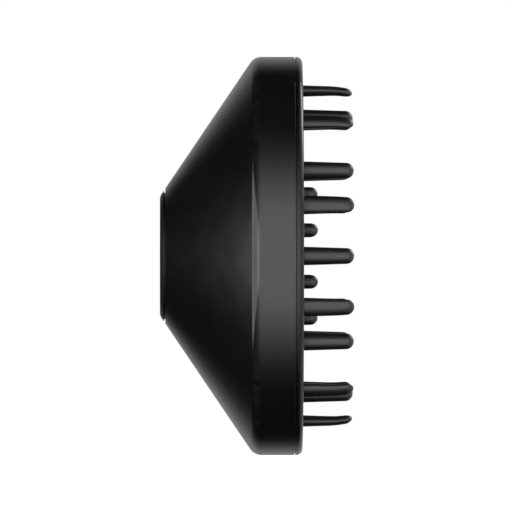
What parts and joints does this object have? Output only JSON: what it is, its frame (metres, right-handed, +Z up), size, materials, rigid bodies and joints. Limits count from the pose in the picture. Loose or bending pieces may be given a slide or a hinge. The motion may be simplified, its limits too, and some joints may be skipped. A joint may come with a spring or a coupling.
{
  "type": "hair dryer diffuser",
  "caption": "Wide conical bowl that turns on a magnetic coupling ring and spreads a hair dryer's air through a dished, slotted face with rings of long and short prongs.",
  "frame": {"origin": "centre of the rear face that seats on the dryer's outlet", "axes": "+X along the air stream, from the dryer towards the prong tips; +Z up; +Y away from the viewer who sees the prongs on the right"},
  "size_m": [0.0608, 0.126, 0.126],
  "materials": {
    "shell_plastic": "satin",
    "rim_plastic": "gloss",
    "face_plastic": "fine matte",
    "prong_plastic": "satin",
    "coupling_plastic": "satin",
    "liner_plastic": "matte",
    "silicone": "matte",
    "washer_plastic": "satin",
    "tag_laminate": "satin",
    "magnet_nickel": "nickel plated",
    "steel": "zinc plated"
  },
  "bodies": {
    "coupling": {"coupling_ring": "coupling_plastic", "id_tag": "tag_laminate", "magnet_1": "magnet_nickel", "magnet_2": "magnet_nickel", "magnet_3": "magnet_nickel", "magnet_4": "magnet_nickel", "magnet_5": "magnet_nickel", "magnet_6": "magnet_nickel", "nose_seal": "silicone", "pole_ring": "steel", "seat_ring": "coupling_plastic"},
    "bowl": {"centre_cap": "rim_plastic", "centre_clamp_plate": "liner_plastic", "centre_prong_01": "prong_plastic", "centre_prong_02": "prong_plastic", "centre_prong_03": "prong_plastic", "centre_prong_04": "prong_plastic", "centre_prong_05": "prong_plastic", "centre_prong_06": "prong_plastic", "centre_prong_07": "prong_plastic", "centre_prong_08": "prong_plastic", "centre_screw": "steel", "clamp_screw_1": "steel", "clamp_screw_2": "steel", "clamp_screw_3": "steel", "clamp_screw_4": "steel", "clamp_screw_5": "steel", "deflector_dome": "liner_plastic", "diffusing_screen": "steel", "face_plate": "face_plastic", "inner_prong_01": "prong_plastic", "inner_prong_02": "prong_plastic", "inner_prong_03": "prong_plastic", "inner_prong_04": "prong_plastic", "inner_prong_05": "prong_plastic", "inner_prong_06": "prong_plastic", "inner_prong_07": "prong_plastic", "inner_prong_08": "prong_plastic", "inner_prong_09": "prong_plastic", "inner_prong_10": "prong_plastic", "inner_shell": "liner_plastic", "outer_prong_01": "prong_plastic", "outer_prong_02": "prong_plastic", "outer_prong_03": "prong_plastic", "outer_prong_04": "prong_plastic", "outer_prong_05": "prong_plastic", "outer_prong_06": "prong_plastic", "outer_prong_07": "prong_plastic", "outer_prong_08": "prong_plastic", "outer_prong_09": "prong_plastic", "outer_prong_10": "prong_plastic", "outer_shell": "shell_plastic", "prong_clamp_ring": "liner_plastic", "rim_ring": "rim_plastic", "rim_seal": "silicone", "shell_screw_1": "steel", "shell_screw_2": "steel", "shell_screw_3": "steel", "swivel_washer": "washer_plastic"}
  },
  "joints": [
    {"name": "bowl_swivel", "type": "hinge", "parent": "coupling", "child": "bowl", "pos_m": [0, 0, 0], "axis": [1, 0, 0], "continuous": true}
  ]
}
